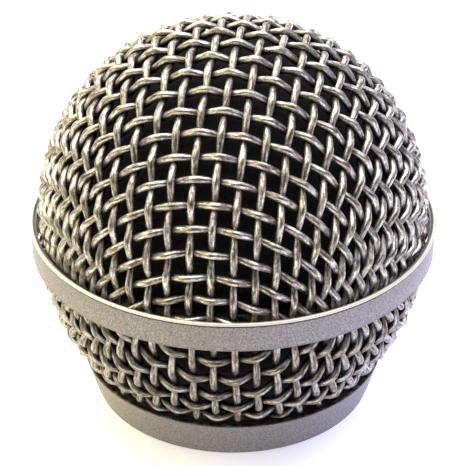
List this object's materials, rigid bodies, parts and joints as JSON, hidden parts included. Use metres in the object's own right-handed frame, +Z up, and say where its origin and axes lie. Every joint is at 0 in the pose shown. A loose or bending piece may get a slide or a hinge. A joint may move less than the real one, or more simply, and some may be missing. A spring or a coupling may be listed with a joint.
{
  "type": "dynamic microphone head",
  "caption": "Screw-on dynamic microphone head: woven wire ball grille with centre band and collar over a sprung moving-coil capsule and contact base.",
  "frame": {"origin": "centre of the collar's flat bottom face", "axes": "+Z up the head's axis towards the dome's crown, -Y towards the front"},
  "size_m": [0.051, 0.051, 0.0496],
  "materials": {
    "wire": "silver-grey paint over steel wire, worn along the tops of the crimps",
    "painted_trim": "champagne-grey satin paint with a fine grain",
    "plated_steel": "bright zinc plate",
    "foam": "open-cell foam, matt blue-black",
    "slip_polymer": "natural acetal",
    "base_metal": "dark anodised aluminium",
    "board": "green solder mask",
    "contact_brass": "gold flash",
    "black_plastic": "moulded black plastic",
    "rubber": "matt black rubber",
    "lead_insulation": "PVC insulation",
    "felt": "grey wool felt",
    "magnet_metal": "nickel plate",
    "screen_cloth": "black acoustic cloth",
    "film": "clear polyester film",
    "copper": "enamelled copper wire"
  },
  "bodies": {
    "base": {"base_ring": "base_metal", "contact_board": "board", "contact_rings": "contact_brass", "board_screws": "plated_steel", "shock_mount_housing": "black_plastic", "shock_mount": "rubber", "mount_clamp_ring": "black_plastic", "lead_wires": "lead_insulation"},
    "carrier": {"slip_ring": "slip_polymer"},
    "grille": {"upper_mesh": "wire", "lower_mesh": "wire", "centre_band": "painted_trim", "band_inner_ring": "plated_steel", "collar": "painted_trim", "dome_foam": "foam", "basket_foam": "foam"},
    "capsule": {"rear_chamber": "black_plastic", "chamber_felt": "felt", "capsule_housing": "black_plastic", "rear_felt": "felt", "yoke": "plated_steel", "magnet": "magnet_metal", "pole_piece": "plated_steel", "top_plate": "plated_steel", "diaphragm_clamp_ring": "black_plastic", "resonator_cap": "black_plastic", "cap_screen": "screen_cloth", "terminal_tags": "contact_brass"},
    "diaphragm": {"diaphragm_dome": "film", "diaphragm_surround": "film", "coil_former": "film", "voice_coil": "copper"}
  },
  "joints": [
    {"name": "grille_lift", "type": "slide", "parent": "base", "child": "carrier", "axis": [0, 0, 1], "range_m": [0, 0.004]},
    {"name": "grille_turn", "type": "hinge", "parent": "carrier", "child": "grille", "pos_m": [0, 0, 0], "axis": [0, 0, 1], "range_deg": [0, 1440]},
    {"name": "capsule_float", "type": "slide", "parent": "base", "child": "capsule", "axis": [0, 0, 1], "range_m": [-0.001, 0.001], "stiffness_N_per_m": 4000, "deforming": ["shock_mount", "lead_wires"]},
    {"name": "diaphragm_travel", "type": "slide", "parent": "capsule", "child": "diaphragm", "axis": [0, 0, 1], "range_m": [-0.0003, 0.0003], "stiffness_N_per_m": 1500, "deforming": ["diaphragm_surround"]}
  ],
  "couplings": [
    {"joint": "grille_lift", "follows": "grille_turn", "m_per_rad": 0.00015915}
  ]
}
